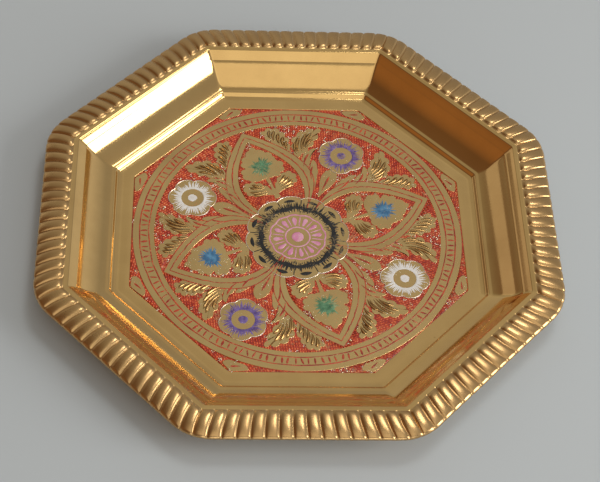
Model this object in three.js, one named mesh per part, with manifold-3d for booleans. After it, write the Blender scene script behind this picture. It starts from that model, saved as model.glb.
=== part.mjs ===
// Octagonal brass tray: one pressed sheet with a fluted rim, a coved wall and a flat floor.
// The floor is cut with shallow pockets, and each pocket holds its own fill of coloured lacquer.
// Millimetres, +Z up. The origin is the centre of the flat underside, and the flats face X and Y.

import * as THREE from 'three';
import Module from 'manifold-3d';
import { mergeVertices } from 'three/addons/utils/BufferGeometryUtils.js';

const wasm = await Module();
wasm.setup();

// ---- driving dimensions --------------------------------------------------------------------

// the sheet
const ACROSS_FLATS = 230;     // outer edge, flat to flat
const SHEET = 1.0;            // sheet thickness

// widths of the section, from the outer edge inwards
const FLUTE_LENGTH = 12.7;    // the fluted band
const LAND_WIDTH = 2.3;       // plain band inside the flutes
const LIP_WIDTH = 3.3;        // shallow step at the top of the wall
const WALL_RUN = 11.9;        // the coved wall, seen from above
const FOOT_RUN = 4.2;         // step between the wall and the floor

// heights above the floor's top face
const WELL_DEPTH = 14.1;      // at the inner ends of the flutes
const LAND_FALL = 0.4;        // the land dips by this towards the well
const LIP_FALL = 0.9;         // the lip dips by this
const WALL_HOLLOW = 1.4;      // how far the wall bows outwards from a straight slope
const FOOT_HEIGHT = 2.4;      // top of the foot step
const CROWN_RISE = 0.8;       // the crest of the flutes, above their inner ends
const EDGE_FALL = 1.5;        // the outer edge, below the flutes' inner ends

// flutes and corners
const FLUTES_PER_SIDE = 16;
const FLUTE_RISE = 1.0;       // crest of a flute above the creases beside it
const EDGE_SCALLOP = 0.35;    // each crease draws the outer edge in by this
const EDGE_CORNER = 24;       // corner radius of the outer edge
const FLUTE_END_CORNER = 4.5; // corner radius at the flutes' inner ends
const WELL_CORNER = 3;        // corner radius of the land, wall and floor

// the engraved floor: its layout is drawn for an octagon of this apothem, and scaled to the floor
const LAYOUT_APOTHEM = 75.1;
const PLAIN_MARGIN = 5.5;     // bare brass between the foot step and the engraving
const POCKET_DEPTH = 0.35;    // the pockets, cut down from the floor's top face
const FILL_DEPTH = 0.3;       // thickness of the lacquer in them
const FILL_GAP = 0.25;        // side clearance between the lacquer and its pocket
const LINE_WIDTH = 0.7;       // a fill that is only a line

// layout sizes
const BORDER_CIRCLE = 73.5;   // inner radius of the border fill
const LADDER_RADII = [71.5, 67.4];
const GROUND_RADIUS = 64.9;   // outer radius of the red ground
const ROSETTE_Y = -2.2;       // the hand-set rosette lies a little off the centre
const ROSETTE_RADIUS = 23.3;
const PETAL_TURNS = [19, 113, 201, 286.5];   // degrees from +X
const PETAL_FRAME = { base: 17.2, baseHalf: 15.0, widest: 31, half: 20.5, tip: 64.2 };
const PETAL_LINE = { base: 19.5, baseHalf: 14.2, widest: 31, half: 17.0, tip: 61.2 };
const PETAL_GROUND = { base: 20.5, baseHalf: 11.5, widest: 31, half: 14.2, tip: 58.0 };
const PETAL_CURVE = 1.8;      // power of the curve from the widest place to the tip
const TIP_STRETCH = 1.6;      // how much further the tip moves than the sides, when a petal grows
const BUD = { reach: 42.5, radius: 7.4 };
const BUD_LEAF = { reach: 31.5, side: 7, radius: 4.6 };
const STEM_WIDTH = 2.2;
const BURST = { reach: 42.5, tips: 9, outer: 5.4, inner: 3.4 };
const FLOWER_TURNS = [65, 158, 242.5, 332];  // degrees from +X
const FLOWER_REACH = 52.3;
const FLOWER_RADIUS = 11.0;
const FLOWER_FRINGE = { tips: 10, outer: 8.6, inner: 6.6, hole: 4.6 };
const FLOWER_DOT = 2.2;
const BLACK_RING = { outer: 17.8, inner: 13.8, spokes: 12, spokeEnd: 21.8 };
const PINK_LINE = 12.4;       // radius of the pink outline
const PINK_WHEEL = { outer: 11.2, hubOuter: 6.2, hubInner: 5.0, blades: 12, bladeWidth: 1.7 };
const PINK_DOT = 3.0;
const CORNER_LEAF = { reach: 77.2, long: 2.6, wide: 1.1 };

// ---- sizes that follow ---------------------------------------------------------------------

const SIDES = 8;
const SIDE_TURN = (2 * Math.PI) / SIDES;
const HALF_TAN = Math.tan(SIDE_TURN / 2);
const FACETS_PER_ROOT = 2.5;   // a circle's facet pairs, per square root of its radius

const edgeApothem = ACROSS_FLATS / 2;
const fluteEnd = edgeApothem - FLUTE_LENGTH;
const landEdge = fluteEnd - LAND_WIDTH;
const wallTop = landEdge - LIP_WIDTH;
const wallFoot = wallTop - WALL_RUN;
const floorEdge = wallFoot - FOOT_RUN;
const landHeight = WELL_DEPTH - LAND_FALL;
const wallHeight = landHeight - LIP_FALL;
const layoutScale = (floorEdge - PLAIN_MARGIN) / LAYOUT_APOTHEM;
const pocketFloor = SHEET - POCKET_DEPTH;
const fillTop = pocketFloor + FILL_DEPTH;

const at = (size) => size * layoutScale;
const degrees = THREE.MathUtils.degToRad;

// ---- closed meshes and solids --------------------------------------------------------------

function toSolid(geometry) {
  geometry.deleteAttribute('normal');
  geometry.deleteAttribute('uv');
  const merged = mergeVertices(geometry, 1e-5);
  const vertProperties = new Float32Array(merged.attributes.position.array);
  const triVerts = new Uint32Array(merged.index.array);
  return new wasm.Manifold(new wasm.Mesh({ numProp: 3, vertProperties, triVerts }));
}

function toGeometry(solid) {
  const mesh = solid.getMesh();
  const geometry = new THREE.BufferGeometry();
  geometry.setAttribute('position', new THREE.BufferAttribute(mesh.vertProperties, 3));
  geometry.setIndex(new THREE.BufferAttribute(mesh.triVerts, 1));
  geometry.computeVertexNormals();
  return geometry;
}

// a flat plate with the given outline, from one height to another
function plate(outline, bottom, top) {
  const shape = new THREE.Shape(outline);
  const body = new THREE.ExtrudeGeometry(shape, { depth: top - bottom, bevelEnabled: false });
  body.translate(0, 0, bottom);
  return toSolid(body);
}

// circle with more facets the larger it is; grow changes its size and leaves its facets alone
function circle(x, y, radius, grow) {
  const points = [];
  const facets = 2 * Math.round(FACETS_PER_ROOT * Math.sqrt(radius));
  for (let i = 0; i < facets; i += 1) {
    const turn = (2 * Math.PI * i) / facets;
    const reach = radius + grow;
    points.push(new THREE.Vector2(x + reach * Math.cos(turn), y + reach * Math.sin(turn)));
  }
  return points;
}

// flat ring round a point on the Y axis; grow widens it both ways
function ring(y, outer, inner, low, high, grow) {
  const hole = plate(circle(0, y, inner, -grow), low - 1, high + 1);
  return plate(circle(0, y, outer, grow), low, high).subtract(hole);
}

// outline whose radius swings between outer and inner, as a star or a scalloped flower
function star(x, y, outer, inner, tips, turn) {
  const points = [];
  for (let i = 0; i < 2 * tips; i += 1) {
    const radius = i % 2 === 0 ? outer : inner;
    const angle = turn + (Math.PI * i) / tips;
    points.push(new THREE.Vector2(x + radius * Math.cos(angle), y + radius * Math.sin(angle)));
  }
  return points;
}

// rectangle that runs along a direction from one distance to another
function bar(x, y, turn, near, far, width) {
  const along = new THREE.Vector2(Math.cos(turn), Math.sin(turn));
  const across = new THREE.Vector2(-along.y, along.x).multiplyScalar(width / 2);
  const start = new THREE.Vector2(x, y).addScaledVector(along, near);
  const end = new THREE.Vector2(x, y).addScaledVector(along, far);
  return [
    start.clone().sub(across),
    end.clone().sub(across),
    end.clone().add(across),
    start.clone().add(across),
  ];
}

// ---- the pressed sheet ---------------------------------------------------------------------

// a point of an octagon with rounded corners: side 0 faces +X, share runs 0..1 along a side
function octagonPoint(apothem, corner, side, share) {
  const straight = (apothem - corner) * HALF_TAN;
  const reach = straight + (corner * SIDE_TURN) / 2;
  const along = (2 * share - 1) * reach;
  const bend = Math.max(Math.abs(along) - straight, 0) / corner;
  const y = Math.min(Math.abs(along), straight) + corner * Math.sin(bend);
  const point = new THREE.Vector2(apothem - corner + corner * Math.cos(bend), Math.sign(along) * y);
  return point.rotateAround(new THREE.Vector2(), side * SIDE_TURN);
}

// stations along one side: two to a flute, or only the corners and the middle
const fluteShares = Array.from({ length: 2 * FLUTES_PER_SIDE }, (_, i) => i / (2 * FLUTES_PER_SIDE));
const plainShares = [0, 0.016, 0.5, 0.984];

// one closed loop of the sheet's surface
function loop({ apothem, height, corner, rise }) {
  const fluted = rise !== undefined;
  const shares = fluted ? fluteShares : plainShares;
  const stations = [];
  for (let side = 0; side < SIDES; side += 1) {
    shares.forEach((share, i) => {
      const crest = fluted && i % 2 === 1 ? 1 : 0;
      const bow = fluted ? EDGE_SCALLOP * rise.edge * (crest - 1) : 0;
      const flat = octagonPoint(apothem + bow, corner, side, share);
      const lift = fluted ? FLUTE_RISE * rise.share * (crest - 1) : 0;
      stations.push({ share: side + share, point: new THREE.Vector3(flat.x, flat.y, height + lift) });
    });
  }
  return stations;
}

// the section's top face, from the floor to the outer edge, as apothem and height
function topProfile() {
  const profile = [
    { apothem: floorEdge, height: 0 },
    { apothem: floorEdge + 0.5 * FOOT_RUN, height: 0.24 * FOOT_HEIGHT },
  ];
  const wallSteps = 4;
  const chord = new THREE.Vector2(WALL_RUN, wallHeight - FOOT_HEIGHT);
  const outwards = new THREE.Vector2(chord.y, -chord.x).normalize();
  for (let i = 0; i <= wallSteps; i += 1) {
    const share = i / wallSteps;
    const hollow = 4 * WALL_HOLLOW * share * (1 - share);
    profile.push({
      apothem: wallFoot + chord.x * share + outwards.x * hollow,
      height: FOOT_HEIGHT + chord.y * share + outwards.y * hollow,
    });
  }
  profile.push({ apothem: landEdge, height: landHeight });
  profile.push({ apothem: fluteEnd, height: WELL_DEPTH, rise: { share: 0, edge: 0 } });
  profile.push({
    apothem: fluteEnd + 0.22 * FLUTE_LENGTH,
    height: WELL_DEPTH + 0.9 * CROWN_RISE,
    rise: { share: 0.95, edge: 0 },
  });
  profile.push({
    apothem: fluteEnd + 0.66 * FLUTE_LENGTH,
    height: WELL_DEPTH + 0.8 * CROWN_RISE,
    rise: { share: 1, edge: 0.3 },
  });
  profile.push({
    apothem: edgeApothem,
    height: WELL_DEPTH - EDGE_FALL,
    rise: { share: 0.5, edge: 1 },
  });
  profile.forEach((row) => {
    const share = THREE.MathUtils.clamp((row.apothem - fluteEnd) / FLUTE_LENGTH, 0, 1);
    const fluteCorner = THREE.MathUtils.lerp(FLUTE_END_CORNER, EDGE_CORNER, share);
    row.corner = row.rise ? fluteCorner : WELL_CORNER;
    row.height += SHEET;
  });
  return profile;
}

// the same section on the underside, one sheet thickness away along the normal
function underProfile(top) {
  const normals = top.slice(1).map((row, i) => {
    const step = new THREE.Vector2(row.apothem - top[i].apothem, row.height - top[i].height);
    return new THREE.Vector2(-step.y, step.x).normalize();
  });
  return top.map((row, i) => {
    const before = i === 0 ? new THREE.Vector2(0, 1) : normals[i - 1];
    const after = i === top.length - 1 ? before : normals[i];
    const normal = before.clone().add(after).normalize();
    const reach = SHEET / normal.dot(before);
    return {
      ...row,
      apothem: row.apothem - normal.x * reach,
      height: row.height - normal.y * reach,
    };
  });
}

// triangles between two closed loops with any number of stations, matched by their shares
function stitch(faces, from, to) {
  let i = 0;
  let j = 0;
  const shareOf = (stations, k) => (k < stations.length ? stations[k].share : SIDES);
  while (i < from.length || j < to.length) {
    const a = from[i % from.length].point;
    const b = to[j % to.length].point;
    const stepFrom = i < from.length && shareOf(from, i + 1) < shareOf(to, j + 1);
    if (stepFrom || j === to.length) {
      i += 1;
      faces.push(a, b, from[i % from.length].point);
    } else {
      j += 1;
      faces.push(a, b, to[j % to.length].point);
    }
  }
}

function sheetSolid() {
  const top = topProfile();
  const rows = [...top, ...underProfile(top).reverse()];
  const loops = rows.map(loop);
  const faces = [];
  for (let k = 1; k < loops.length; k += 1) stitch(faces, loops[k - 1], loops[k]);
  const first = loops[0];
  const last = loops[loops.length - 1];
  const topCentre = new THREE.Vector3(0, 0, SHEET);
  const underCentre = new THREE.Vector3(0, 0, 0);
  first.forEach((station, k) => {
    faces.push(topCentre, station.point, first[(k + 1) % first.length].point);
  });
  last.forEach((station, k) => {
    faces.push(underCentre, last[(k + 1) % last.length].point, station.point);
  });
  return toSolid(new THREE.BufferGeometry().setFromPoints(faces));
}

// ---- outlines of the engraved layout -------------------------------------------------------

// pointed petal round its own axis: it widens from the base, then curves in to the tip;
// grow moves the whole outline outwards
function petalOutline({ base, baseHalf, widest, half, tip }, turn, grow) {
  const side = [];
  const baseSteps = 2;
  const tipSteps = 6;
  const tipReach = at(tip) + TIP_STRETCH * grow;
  for (let i = 0; i < baseSteps; i += 1) {
    const share = i / baseSteps;
    const reach = THREE.MathUtils.lerp(at(base) - grow, at(widest), share);
    side.push([reach, at(half) - at(half - baseHalf) * (1 - share) ** 2 + grow]);
  }
  for (let i = 0; i < tipSteps; i += 1) {
    const share = i / tipSteps;
    const reach = THREE.MathUtils.lerp(at(widest), tipReach, share);
    side.push([reach, (at(half) + grow) * (1 - share ** PETAL_CURVE)]);
  }
  const lower = side.map(([reach, spread]) => new THREE.Vector2(reach, -spread));
  const upper = side.map(([reach, spread]) => new THREE.Vector2(reach, spread)).reverse();
  const outline = [...lower, new THREE.Vector2(tipReach, 0), ...upper];
  return outline.map((point) => point.rotateAround(new THREE.Vector2(), turn));
}

function polar(reach, turn) {
  return [at(reach) * Math.cos(turn), at(reach) * Math.sin(turn)];
}

// Each maker below gives a solid between two heights. grow is 0 for the pocket and
// minus FILL_GAP for the lacquer in it, so a fill always follows its own pocket.

function rosetteDisc(low, high, grow) {
  return plate(circle(0, at(ROSETTE_Y), at(ROSETTE_RADIUS), -grow), low, high);
}

function petalGround(turn, low, high, grow) {
  const [budX, budY] = polar(BUD.reach, turn);
  const along = new THREE.Vector2(Math.cos(turn), Math.sin(turn));
  let ground = plate(petalOutline(PETAL_GROUND, turn, grow), low, high);
  ground = ground.subtract(rosetteDisc(low - 1, high + 1, grow));
  ground = ground.subtract(plate(circle(budX, budY, at(BUD.radius), -grow), low - 1, high + 1));
  const stem = bar(0, 0, turn, at(PETAL_GROUND.base), at(BUD.reach), at(STEM_WIDTH) - 2 * grow);
  ground = ground.subtract(plate(stem, low - 1, high + 1));
  [-1, 1].forEach((hand) => {
    const x = at(BUD_LEAF.reach) * along.x - hand * at(BUD_LEAF.side) * along.y;
    const y = at(BUD_LEAF.reach) * along.y + hand * at(BUD_LEAF.side) * along.x;
    const leaf = circle(x, y, at(BUD_LEAF.radius), -grow);
    ground = ground.subtract(plate(leaf, low - 1, high + 1));
  });
  return ground;
}

function petalLine(turn, low, high, grow) {
  const half = LINE_WIDTH / 2 + grow;
  const line = plate(petalOutline(PETAL_LINE, turn, half), low, high);
  const inside = petalOutline(PETAL_LINE, turn, -half);
  return line.subtract(plate(inside, low - 1, high + 1)).subtract(rosetteDisc(low - 1, high + 1, grow));
}

// the ground between two petals, with the flower left standing in it
function gapGround(index, low, high, grow) {
  const from = degrees(PETAL_TURNS[index]);
  const turns = degrees((PETAL_TURNS[(index + 1) % 4] - PETAL_TURNS[index] + 360) % 360);
  const [flowerX, flowerY] = polar(FLOWER_REACH, degrees(FLOWER_TURNS[index]));
  const sector = [new THREE.Vector2(0, 0)];
  const steps = 10;
  for (let i = 0; i <= steps; i += 1) {
    const turn = from + (turns * i) / steps;
    const reach = at(GROUND_RADIUS) + grow;
    sector.push(new THREE.Vector2(reach * Math.cos(turn), reach * Math.sin(turn)));
  }
  let ground = plate(sector, low, high).subtract(rosetteDisc(low - 1, high + 1, grow));
  PETAL_TURNS.forEach((turn) => {
    const frame = petalOutline(PETAL_FRAME, degrees(turn), -grow);
    ground = ground.subtract(plate(frame, low - 1, high + 1));
  });
  const flower = circle(flowerX, flowerY, at(FLOWER_RADIUS), -grow);
  return ground.subtract(plate(flower, low - 1, high + 1));
}

function flowerFringe(turn, low, high, grow) {
  const { tips, outer, inner, hole } = FLOWER_FRINGE;
  const [x, y] = polar(FLOWER_REACH, turn);
  const outline = star(x, y, at(outer) + grow, at(inner) + grow, tips, turn);
  const fringe = plate(outline, low, high);
  return fringe.subtract(plate(circle(x, y, at(hole), -grow), low - 1, high + 1));
}

function flowerDot(turn, low, high, grow) {
  const [x, y] = polar(FLOWER_REACH, turn);
  return plate(circle(x, y, at(FLOWER_DOT), grow), low, high);
}

function budBurst(turn, low, high, grow) {
  const { reach, tips, outer, inner } = BURST;
  const [x, y] = polar(reach, turn);
  return plate(star(x, y, at(outer) + grow, at(inner) + grow, tips, turn), low, high);
}

function ladderLine(radius, low, high, grow) {
  return ring(0, at(radius) + LINE_WIDTH / 2, at(radius) - LINE_WIDTH / 2, low, high, grow);
}

// the band between the engraved octagon and its circle, with a brass leaf left in each corner
function borderFill(low, high, grow) {
  const apothem = at(LAYOUT_APOTHEM) + grow;
  const corner = apothem / Math.cos(SIDE_TURN / 2);
  const outline = star(0, 0, corner, corner, SIDES / 2, SIDE_TURN / 2);
  const inside = plate(circle(0, 0, at(BORDER_CIRCLE), -grow), low - 1, high + 1);
  let fill = plate(outline, low, high).subtract(inside);
  const { reach, long, wide } = CORNER_LEAF;
  for (let side = 0; side < SIDES; side += 1) {
    const turn = (side + 0.5) * SIDE_TURN;
    const [x, y] = polar(reach, turn);
    const leaf = [[-long, 0], [0, -wide], [long, 0], [0, wide]].map(([u, v]) => {
      const stretch = 1 - grow / at(wide);
      const point = new THREE.Vector2(at(u) * stretch, at(v) * stretch);
      return point.rotateAround(new THREE.Vector2(), turn).add(new THREE.Vector2(x, y));
    });
    fill = fill.subtract(plate(leaf, low - 1, high + 1));
  }
  return fill;
}

function blackRing(low, high, grow) {
  const { outer, inner, spokes, spokeEnd } = BLACK_RING;
  const y = at(ROSETTE_Y);
  const root = at(outer + inner) / 2;
  let body = ring(y, at(outer), at(inner), low, high, grow);
  for (let i = 0; i < spokes; i += 1) {
    const turn = (2 * Math.PI * i) / spokes;
    const spoke = bar(0, y, turn, root, at(spokeEnd) + grow, LINE_WIDTH + 2 * grow);
    body = body.add(plate(spoke, low, high));
  }
  return body;
}

function pinkLine(low, high, grow) {
  const half = LINE_WIDTH / 2;
  return ring(at(ROSETTE_Y), at(PINK_LINE) + half, at(PINK_LINE) - half, low, high, grow);
}

function pinkWheel(low, high, grow) {
  const { outer, hubOuter, hubInner, blades, bladeWidth } = PINK_WHEEL;
  const y = at(ROSETTE_Y);
  const root = at(hubOuter + hubInner) / 2;
  let body = ring(y, at(hubOuter), at(hubInner), low, high, grow);
  for (let i = 0; i < blades; i += 1) {
    const turn = (2 * Math.PI * (i + 0.5)) / blades;
    const blade = bar(0, y, turn, root, at(outer) + grow, at(bladeWidth) + 2 * grow);
    body = body.add(plate(blade, low, high));
  }
  return body;
}

function pinkDot(low, high, grow) {
  return plate(circle(0, at(ROSETTE_Y), at(PINK_DOT), grow), low, high);
}

// ---- materials -----------------------------------------------------------------------------

const lacquer = (color) => () => new THREE.MeshStandardMaterial({ color, roughness: 0.35, metalness: 0 });
const brass = () => new THREE.MeshStandardMaterial({ color: 0xb58d45, roughness: 0.25, metalness: 1 });
const red = lacquer(0xbb3220);
const black = lacquer(0x1c1b1a);
const pink = lacquer(0xe78cb2);
const white = lacquer(0xeeebe2);
const purple = lacquer(0x6950a0);
const blue = lacquer(0x3c86b8);
const green = lacquer(0x4f9060);

// ---- the assembly --------------------------------------------------------------------------

// every fill: its name, its maker and its lacquer
const fills = [
  ['border_fill', borderFill, red],
  ['rosette_black_fill', blackRing, black],
  ['rosette_pink_line', pinkLine, pink],
  ['rosette_pink_wheel', pinkWheel, pink],
  ['rosette_pink_dot', pinkDot, pink],
];
LADDER_RADII.forEach((radius, i) => {
  const name = ['ladder_line_outer', 'ladder_line_inner'][i];
  fills.push([name, (...span) => ladderLine(radius, ...span), red]);
});
PETAL_TURNS.forEach((turn, i) => {
  const angle = degrees(turn);
  fills.push([`petal_ground_${i + 1}`, (...span) => petalGround(angle, ...span), red]);
  fills.push([`petal_line_${i + 1}`, (...span) => petalLine(angle, ...span), red]);
  fills.push([`gap_ground_${i + 1}`, (...span) => gapGround(i, ...span), red]);
  fills.push([`bud_burst_${i + 1}`, (...span) => budBurst(angle, ...span), i % 2 === 0 ? blue : green]);
});
FLOWER_TURNS.forEach((turn, i) => {
  const angle = degrees(turn);
  const colour = i % 2 === 0 ? purple : white;
  fills.push([`flower_fringe_${i + 1}`, (...span) => flowerFringe(angle, ...span), colour]);
  fills.push([`flower_dot_${i + 1}`, (...span) => flowerDot(angle, ...span), colour]);
});

const tray = new THREE.Group();

function addPiece(name, solid, material) {
  const mesh = new THREE.Mesh(toGeometry(solid), material());
  mesh.name = name;
  tray.add(mesh);
}

let body = sheetSolid();
fills.forEach(([name, maker, material]) => {
  body = body.subtract(maker(pocketFloor, SHEET + 1, 0));
  addPiece(name, maker(pocketFloor, fillTop, -FILL_GAP), material);
});
addPiece('tray_body', body, brass);

export default tray;
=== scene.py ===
import math

import bmesh
import bpy
import numpy as np
from mathutils import Matrix, Vector


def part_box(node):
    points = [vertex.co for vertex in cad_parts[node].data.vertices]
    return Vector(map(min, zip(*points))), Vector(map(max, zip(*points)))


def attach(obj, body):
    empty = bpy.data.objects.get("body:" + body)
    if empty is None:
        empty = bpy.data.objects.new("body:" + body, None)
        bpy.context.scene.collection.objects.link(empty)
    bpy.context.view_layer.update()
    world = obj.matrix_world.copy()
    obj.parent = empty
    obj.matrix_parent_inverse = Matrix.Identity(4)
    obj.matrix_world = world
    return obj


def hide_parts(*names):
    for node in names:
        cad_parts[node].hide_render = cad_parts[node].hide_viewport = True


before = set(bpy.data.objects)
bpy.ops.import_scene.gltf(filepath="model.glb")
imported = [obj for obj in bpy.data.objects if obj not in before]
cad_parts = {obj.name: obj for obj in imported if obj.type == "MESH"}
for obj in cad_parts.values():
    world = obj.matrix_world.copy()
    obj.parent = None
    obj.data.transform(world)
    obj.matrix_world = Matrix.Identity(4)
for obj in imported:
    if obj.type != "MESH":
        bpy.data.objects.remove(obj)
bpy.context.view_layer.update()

# ---- The camera -----------------------------------------------------------------------------------
# It looks down into the tray from the front, a little from the left, through a long lens, and is held
# slightly tilted.  It aims close to the centre of the tray's floor.

body_low, body_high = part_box("tray_body")
half = body_high.x                       # half the width across flats; every plan size is a share of it
SHEET = 0.001                            # thickness of the brass
azimuth, elevation, tilt = math.radians(-5.66), math.radians(52.33), math.radians(5.28)
CAMERA_AWAY = 6.307                      # this and the two offsets of the aim are shares of half
AIM_RIGHT, AIM_DOWN = 0.0078, 0.033

backwards = Vector((
    math.sin(azimuth) * math.cos(elevation),
    -math.cos(azimuth) * math.cos(elevation),
    math.sin(elevation),
))
level_right = (-backwards).cross(Vector((0, 0, 1))).normalized()
level_up = level_right.cross(-backwards)
right = level_right * math.cos(tilt) + level_up * math.sin(tilt)
up = level_up * math.cos(tilt) - level_right * math.sin(tilt)
aim = (right * AIM_RIGHT - up * AIM_DOWN) * half + Vector((0, 0, SHEET))

camera_data = bpy.data.cameras.new("camera")
camera_data.lens = 96.1
camera_data.sensor_width = 36.0
camera = bpy.data.objects.new("camera", camera_data)
bpy.context.scene.collection.objects.link(camera)
turn = Matrix((right, up, backwards)).transposed().to_4x4()
camera.matrix_world = Matrix.Translation(aim + backwards * CAMERA_AWAY * half) @ turn
bpy.context.scene.camera = camera
bpy.context.scene.view_settings.view_transform = "Standard"

# ---- The floor and the light ----------------------------------------------------------------------
# A plain pale floor.  Five soft panels: a tall key low on the right, one overhead, a wide one high behind
# the viewer, a long low one in front, and a weak fill on the far left.  The studio round them is brightest
# on the right and falls off to a warm dark side on the left, for the brass to mirror.

FLOOR_REACH = 3.0
FLOOR_GAP = 0.0002                       # keeps the floor's face clear of the tray's underside


def feed(tree, made, inputs):
    """Give a node's inputs their values; one that is another node's output is linked to it."""
    for label, value in inputs.items():
        if isinstance(value, bpy.types.NodeSocket):
            tree.links.new(value, made.inputs[label])
        else:
            made.inputs[label].default_value = value


def node(tree, kind, place, inputs=None, **settings):
    """A shader node at a place on the sheet, with its settings and then its inputs."""
    made = tree.nodes.new(kind)
    made.location = place
    for key, value in settings.items():
        setattr(made, key, value)
    feed(tree, made, inputs or {})
    return made


def ranged(tree, place, value, low, high, to_low=0, to_high=1):
    """A value stretched from one range to another, and held inside it."""
    inputs = {"Value": value, "From Min": low, "From Max": high, "To Min": to_low, "To Max": to_high}
    return node(tree, "ShaderNodeMapRange", place, inputs).outputs["Result"]


floor_mesh = bpy.data.meshes.new("floor")
floor_corners = [(x * FLOOR_REACH, y * FLOOR_REACH, 0) for x, y in ((-1, -1), (1, -1), (1, 1), (-1, 1))]
floor_mesh.from_pydata(floor_corners, [], [(0, 1, 2, 3)])
floor = bpy.data.objects.new("floor", floor_mesh)
bpy.context.scene.collection.objects.link(floor)
floor.location.z = body_low.z - FLOOR_GAP
floor_paint = bpy.data.materials.new("pale_floor")
floor_paint.use_nodes = True
feed(floor_paint.node_tree, floor_paint.node_tree.nodes["Principled BSDF"],
     {"Base Color": (0.61, 0.67, 0.71, 1), "Roughness": 0.9})
floor_mesh.materials.append(floor_paint)

world = bpy.data.worlds.new("studio")
world.use_nodes = True
sky = world.node_tree
direction = node(sky, "ShaderNodeTexCoord", (-900, 0))
towards = node(sky, "ShaderNodeVectorMath", (-700, 0),
               {0: direction.outputs["Generated"], 1: (0.85, 0.20, -0.45)}, operation="DOT_PRODUCT")
side = ranged(sky, (-500, 0), towards.outputs["Value"], -1, 1)
falloff = node(sky, "ShaderNodeValToRGB", (-300, 0), {"Fac": side})
for place, colour in ((0.01, (0.28, 0.14, 0.06)), (0.06, (0.14, 0.08, 0.045)), (0.16, (0.15, 0.09, 0.055)),
                      (0.25, (0.27, 0.25, 0.21)), (0.40, (0.41, 0.40, 0.37)), (0.57, (0.33, 0.32, 0.31)),
                      (0.70, (0.30, 0.30, 0.30)), (0.86, (0.52, 0.52, 0.52))):
    stop = falloff.color_ramp.elements.new(place)
    stop.color = (*colour, 1)
falloff.color_ramp.elements.remove(falloff.color_ramp.elements[-1])
falloff.color_ramp.elements.remove(falloff.color_ramp.elements[0])
feed(sky, sky.nodes["Background"], {"Color": falloff.outputs["Color"]})
bpy.context.scene.world = world


def panel(name, turn, height, distance, size, power, colour):
    """Rectangular soft light: it stands off the tray's centre, turned from +X and raised by degrees, and
    faces the centre."""
    light = bpy.data.lights.new(name, "AREA")
    light.shape = "RECTANGLE"
    light.size, light.size_y = size
    light.energy = power
    light.color = colour
    lamp = bpy.data.objects.new(name, light)
    turn, height = math.radians(turn), math.radians(height)
    away = Vector((math.cos(turn) * math.cos(height), math.sin(turn) * math.cos(height), math.sin(height)))
    lamp.location = away * distance
    lamp.rotation_euler = away.to_track_quat("Z", "Y").to_euler()
    bpy.context.scene.collection.objects.link(lamp)


panel("key", -17, 18, 1.6, (0.75, 1.15), 17, (1.0, 0.97, 0.93))
panel("overhead", 47, 68, 1.9, (0.52, 0.48), 4.2, (1.0, 0.98, 0.95))
panel("behind", -90, 62, 2.0, (1.4, 1.75), 4.2, (1.0, 0.95, 0.86))
panel("front", -84, 11, 2.0, (1.5, 0.35), 3.0, (1.0, 0.97, 0.92))
panel("fill", 138, 24, 2.0, (0.9, 0.7), 0.5, (1.0, 0.99, 0.96))

# ---- The pressed sheet ----------------------------------------------------------------------------
# One blank of thin brass, pressed to an octagon: a rim of convex flutes, a plain land, a small lip, a
# coved wall, a foot step and a flat floor.  The engraved field is sunk a little into the floor.

MM = 0.001
SIDES = 8
FLUTES = 16                              # to a side
FIELD = 0.6526 * half                    # apothem of the engraved field
FIELD_DEPTH = 0.18 * MM
FLOOR_TOP = SHEET
FIELD_BED = SHEET - FIELD_DEPTH


def curve_through(points, steps, closed=False):
    """Smooth curve through the points: between two of them, the cubic whose slope at each is half the
    step from the point before it to the point after it."""
    points = np.asarray(points, float)
    if closed:
        padded = np.concatenate([points[-1:], points, points[:2]])
    else:
        padded = np.concatenate([2 * points[:1] - points[1:2], points, 2 * points[-1:] - points[-2:-1]])
    before, start, end, after = (padded[k:len(padded) - 3 + k, None] for k in range(4))
    t = (np.arange(steps) / steps)[None, :, None]
    cubic = start + 0.5 * t * (end - before + t * (2 * before - 5 * start + 4 * end - after
                                                   + t * (3 * (start - end) + after - before)))
    cubic = cubic.reshape(-1, points.shape[1])
    return cubic if closed else np.concatenate([cubic, points[-1:]])


def octagon(apothem, corner, shares):
    """Points of octagons with rounded corners.  A share runs 0 to 1 along each side, by length; the
    middle of a side is straight, and past it the point turns on an arc of the corner radius."""
    side = np.floor(shares)
    straight = (apothem - corner) * math.tan(math.pi / SIDES)
    along = (2 * (shares - side) - 1) * (straight + corner * math.pi / SIDES)
    bend = np.maximum(np.abs(along) - straight, 0) / corner
    x = apothem - corner + corner * np.cos(bend)
    y = np.sign(along) * (np.minimum(np.abs(along), straight) + corner * np.sin(bend))
    turned = side * 2 * math.pi / SIDES
    return x * np.cos(turned) - y * np.sin(turned), x * np.sin(turned) + y * np.cos(turned)


def grid_faces(count, rows, columns):
    """Corner numbers of the quads between neighbouring rows and columns of count equal grids; the last
    column joins the first."""
    grid, row, column = np.meshgrid(np.arange(count), np.arange(rows - 1), np.arange(columns), indexing="ij")
    start = (grid * rows + row) * columns
    following = (column + 1) % columns
    corners = [start + column, start + following, start + columns + following, start + columns + column]
    return np.stack(corners, -1).reshape(-1, 4)


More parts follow.
